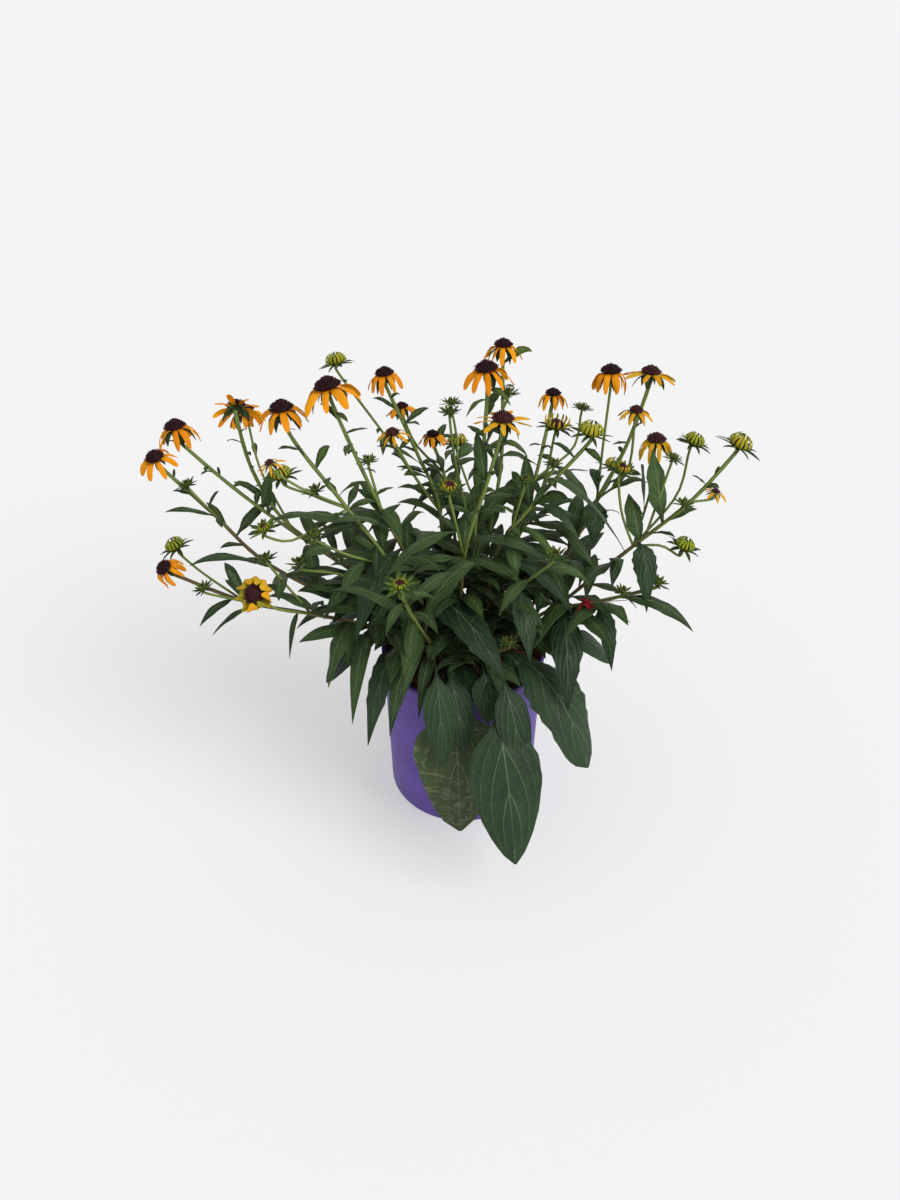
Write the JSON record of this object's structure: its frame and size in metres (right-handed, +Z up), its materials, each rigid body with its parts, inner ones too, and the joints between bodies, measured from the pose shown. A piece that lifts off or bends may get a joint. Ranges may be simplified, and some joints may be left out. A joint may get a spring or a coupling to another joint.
{
  "type": "potted little goldstar black-eyed susan",
  "caption": "Flowering perennial in a plain purple nursery pot: leafy stems with drooping yellow-orange rays round dark domed discs, buds and broad leaves over the rim",
  "frame": {"origin": "centre of the pot's flat base, on the surface it stands on", "axes": "+Z up, -Y towards the picture's front side, +X to the right in that view"},
  "size_m": [0.574, 0.357, 0.4737],
  "materials": {
    "pot": "moulded matte purple",
    "soil": "bark and peat potting mix",
    "foliage": "soft matte green leaf and stem",
    "rays": "soft orange-yellow petal",
    "cone": "dark purple-brown florets"
  },
  "bodies": {
    "root": {"pot": "pot", "soil": "soil", "stem_01": "foliage", "stem_02": "foliage", "stem_03": "foliage", "stem_04": "foliage", "stem_05": "foliage", "stem_06": "foliage", "stem_07": "foliage", "stem_08": "foliage", "stem_09": "foliage", "stem_10": "foliage", "stem_11": "foliage", "stem_12": "foliage", "stem_13": "foliage", "stem_14": "foliage", "stem_15": "foliage", "stem_16": "foliage", "stem_17": "foliage", "stem_18": "foliage", "bloom_01_rays": "rays", "bloom_01_cone": "cone", "bloom_02_rays": "rays", "bloom_02_cone": "cone", "bloom_03_rays": "rays", "bloom_03_cone": "cone", "bloom_04_rays": "rays", "bloom_04_cone": "cone", "bloom_05_rays": "rays", "bloom_05_cone": "cone", "bloom_06_rays": "rays", "bloom_06_cone": "cone", "bloom_07_rays": "rays", "bloom_07_cone": "cone", "bloom_08_rays": "rays", "bloom_08_cone": "cone", "bloom_09_rays": "rays", "bloom_09_cone": "cone", "bloom_10_rays": "rays", "bloom_10_cone": "cone", "bloom_11_rays": "rays", "bloom_11_cone": "cone", "bloom_12_rays": "rays", "bloom_12_cone": "cone", "bloom_13_rays": "rays", "bloom_13_cone": "cone", "bloom_14_rays": "rays", "bloom_14_cone": "cone", "bloom_15_rays": "rays", "bloom_15_cone": "cone", "bloom_16_rays": "rays", "bloom_16_cone": "cone", "bloom_17_rays": "rays", "bloom_17_cone": "cone", "bloom_18_rays": "rays", "bloom_18_cone": "cone", "bloom_19_rays": "rays", "bloom_19_cone": "cone", "bloom_20_rays": "rays", "bloom_20_cone": "cone"}
  },
  "joints": []
}
